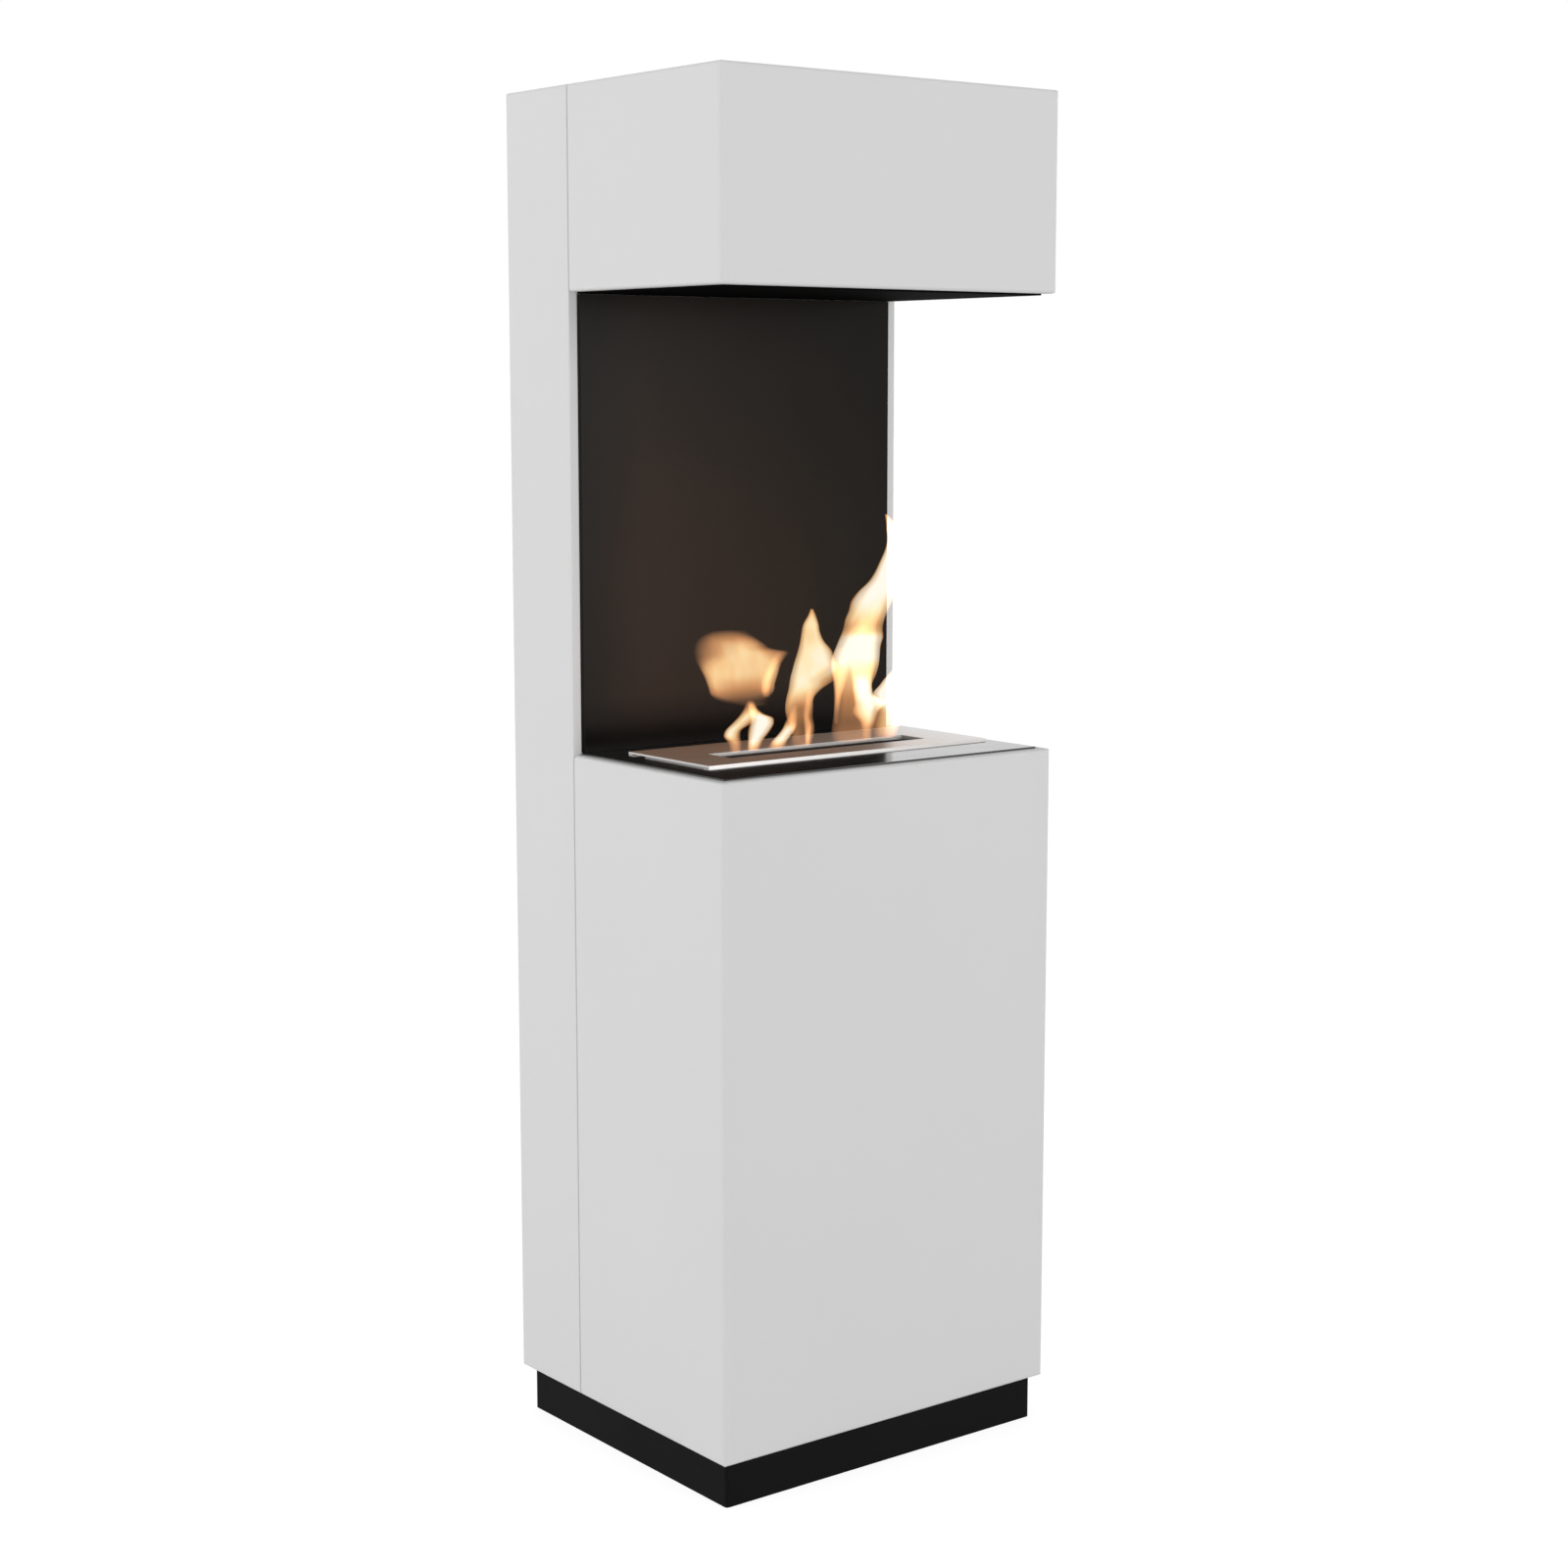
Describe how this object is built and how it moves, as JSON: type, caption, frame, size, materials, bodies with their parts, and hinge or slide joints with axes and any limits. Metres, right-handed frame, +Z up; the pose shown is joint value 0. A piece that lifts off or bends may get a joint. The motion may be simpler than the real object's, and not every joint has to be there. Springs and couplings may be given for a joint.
{
  "type": "bioethanol fireplace",
  "caption": "Free-standing bioethanol fireplace: white sheet-metal cabinet and hood on a rear column, open fire zone, lift-out slot burner with closing slide, recessed plinth.",
  "frame": {"origin": "on the floor under the middle of the footprint", "axes": "+X to the fireplace's left-hand end seen from behind, that is to the right seen from the front; -Y towards the front, where the fire shows; +Z up"},
  "size_m": [0.35, 0.303, 1.15],
  "materials": {
    "white_paint": "satin white powder coat",
    "black_paint": "matt black powder coat",
    "gloss_black": "glossy black heat-proof lacquer",
    "dark_panel": "semi-gloss dark heat-proof lacquer",
    "stainless": "brushed stainless steel",
    "galvanised": "zinc-plated steel",
    "wool": "white ceramic fibre"
  },
  "bodies": {
    "root": {"rear_column": "white_paint", "column_back_frame": "white_paint", "back_cover": "white_paint", "cabinet_shell": "white_paint", "hood_shell": "white_paint", "deck_plate": "gloss_black", "ceiling_plate": "gloss_black", "fire_back_panel": "dark_panel", "plinth_frame": "black_paint", "base_plate": "galvanised", "cabinet_bolt_1": "galvanised", "cabinet_bolt_2": "galvanised", "cabinet_bolt_3": "galvanised", "cabinet_bolt_4": "galvanised", "hood_bolt_1": "galvanised", "hood_bolt_2": "galvanised", "hood_bolt_3": "galvanised", "hood_bolt_4": "galvanised", "panel_nut_1": "galvanised", "panel_nut_2": "galvanised", "panel_nut_3": "galvanised", "panel_nut_4": "galvanised", "deck_nut_1": "galvanised", "deck_nut_2": "galvanised", "deck_nut_3": "galvanised", "deck_nut_4": "galvanised", "ceiling_nut_1": "galvanised", "ceiling_nut_2": "galvanised", "ceiling_nut_3": "galvanised", "ceiling_nut_4": "galvanised", "plinth_bolt_1": "galvanised", "plinth_bolt_2": "galvanised", "plinth_bolt_3": "galvanised", "plinth_bolt_4": "galvanised", "plinth_bolt_5": "galvanised", "plinth_bolt_6": "galvanised", "back_cover_screw_1": "galvanised", "back_cover_screw_2": "galvanised", "back_cover_screw_3": "galvanised", "back_cover_screw_4": "galvanised", "back_cover_screw_5": "galvanised", "back_cover_screw_6": "galvanised"},
    "burner_tank": {"burner_tank": "stainless", "tank_lid": "stainless", "slider_guide_left": "stainless", "slider_guide_right": "stainless", "wool_cover_sheet": "stainless", "ceramic_wool_pad": "wool"},
    "closing_slider": {"closing_slider": "stainless"},
    "burner_cover_plate": {"burner_cover_plate": "stainless"},
    "levelling_foot_1": {"levelling_foot_1": "galvanised"},
    "levelling_foot_2": {"levelling_foot_2": "galvanised"},
    "levelling_foot_3": {"levelling_foot_3": "galvanised"},
    "levelling_foot_4": {"levelling_foot_4": "galvanised"}
  },
  "joints": [
    {"name": "burner_tank_lift", "type": "slide", "parent": "root", "child": "burner_tank", "axis": [0, 0, 1], "range_m": [0, 0.08]},
    {"name": "burner_cover_lift", "type": "slide", "parent": "burner_tank", "child": "burner_cover_plate", "axis": [0, 0, 1], "range_m": [0, 0.05]},
    {"name": "closing_slider_slide", "type": "slide", "parent": "burner_tank", "child": "closing_slider", "axis": [0, -1, 0], "range_m": [0, 0.033]},
    {"name": "levelling_foot_1_screw", "type": "slide", "parent": "root", "child": "levelling_foot_1", "axis": [0, 0, -1], "range_m": [0, 0.01]},
    {"name": "levelling_foot_2_screw", "type": "slide", "parent": "root", "child": "levelling_foot_2", "axis": [0, 0, -1], "range_m": [0, 0.01]},
    {"name": "levelling_foot_3_screw", "type": "slide", "parent": "root", "child": "levelling_foot_3", "axis": [0, 0, -1], "range_m": [0, 0.01]},
    {"name": "levelling_foot_4_screw", "type": "slide", "parent": "root", "child": "levelling_foot_4", "axis": [0, 0, -1], "range_m": [0, 0.01]}
  ]
}
